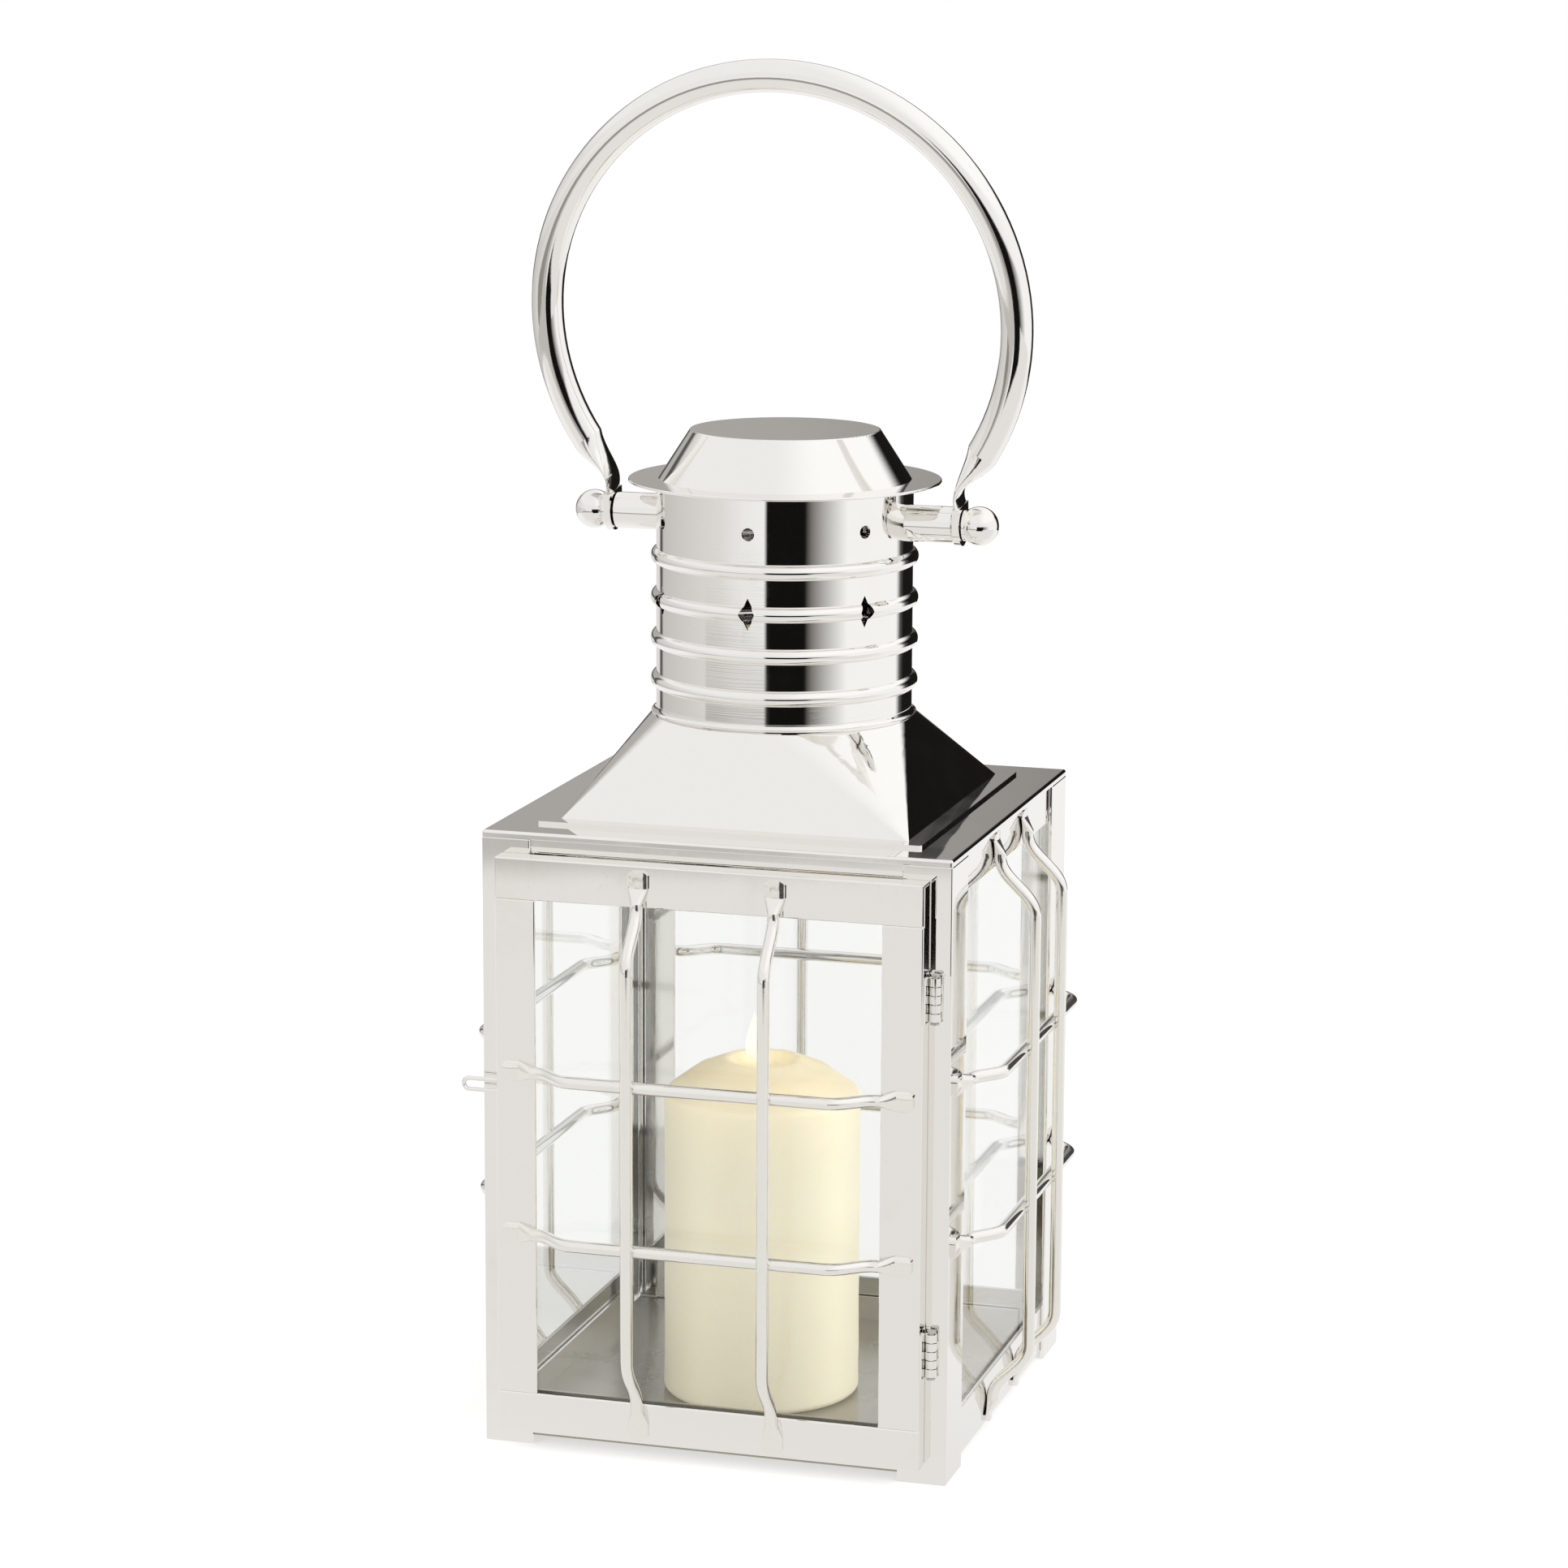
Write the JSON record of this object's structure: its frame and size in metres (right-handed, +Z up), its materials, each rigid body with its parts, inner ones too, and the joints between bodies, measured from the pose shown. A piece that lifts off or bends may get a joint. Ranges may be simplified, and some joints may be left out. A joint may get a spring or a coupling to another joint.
{
  "type": "candle lantern",
  "caption": "Square polished-nickel candle lantern with glass panes behind guard bars, hinged front door, beaded round chimney with vents and cap, swinging bail handle and pillar candle.",
  "frame": {"origin": "centre of the square base, on the surface that the feet stand on, under the chimney's axis", "axes": "+Z up along the chimney, -Y out of the front that holds the door, +X to the right seen from the front"},
  "size_m": [0.2198, 0.2293, 0.5317],
  "materials": {
    "nickel": "polished nickel plate",
    "glass": "clear",
    "wax": "ivory wax, satin",
    "wick": "braided cotton, charred",
    "steel": "plain"
  },
  "bodies": {
    "lantern_body": {"back_bottom_rail": "nickel", "back_glass": "glass", "back_guard_crossbar_1": "nickel", "back_guard_crossbar_2": "nickel", "back_guard_upright_1": "nickel", "back_guard_upright_2": "nickel", "back_left_post": "nickel", "back_right_post": "nickel", "back_top_rail": "nickel", "base_plate": "nickel", "cap_brim": "nickel", "cap_crown": "nickel", "catch_magnet": "steel", "chimney_neck": "nickel", "front_header": "nickel", "front_left_post": "nickel", "front_right_post": "nickel", "front_sill": "nickel", "glass_retainers": "nickel", "hinge_body_leaves": "nickel", "hinge_pins": "steel", "left_ball_nut": "nickel", "left_bottom_rail": "nickel", "left_glass": "glass", "left_guard_crossbar_1": "nickel", "left_guard_crossbar_2": "nickel", "left_guard_upright_1": "nickel", "left_guard_upright_2": "nickel", "left_pivot_post": "nickel", "left_top_rail": "nickel", "pivot_studs": "steel", "right_ball_nut": "nickel", "right_bottom_rail": "nickel", "right_glass": "glass", "right_guard_crossbar_1": "nickel", "right_guard_crossbar_2": "nickel", "right_guard_upright_1": "nickel", "right_guard_upright_2": "nickel", "right_pivot_post": "nickel", "right_top_rail": "nickel", "roof_deck": "nickel", "roof_hood": "nickel"},
    "door": {"door_bottom_rail": "nickel", "door_glass": "glass", "door_glass_clips": "nickel", "door_guard_crossbar_1": "nickel", "door_guard_crossbar_2": "nickel", "door_guard_upright_1": "nickel", "door_guard_upright_2": "nickel", "door_left_stile": "nickel", "door_pull": "nickel", "door_right_stile": "nickel", "door_top_rail": "nickel", "catch_strike": "steel", "hinge_door_leaves": "nickel"},
    "bail": {"bail_handle": "nickel"},
    "candle": {"candle_wax": "wax", "candle_wick": "wick"}
  },
  "joints": [
    {"name": "door_hinge", "type": "hinge", "parent": "lantern_body", "child": "door", "pos_m": [0.0869, -0.0952, 0.1215], "axis": [0, 0, 1], "range_deg": [0, 130]},
    {"name": "bail_swing", "type": "hinge", "parent": "lantern_body", "child": "bail", "pos_m": [0, 0, 0.3545], "axis": [1, 0, 0], "range_deg": [-144, 128]},
    {"name": "candle_lift", "type": "slide", "parent": "lantern_body", "child": "candle", "axis": [0, 0, 1], "range_m": [0, 0.1]}
  ]
}
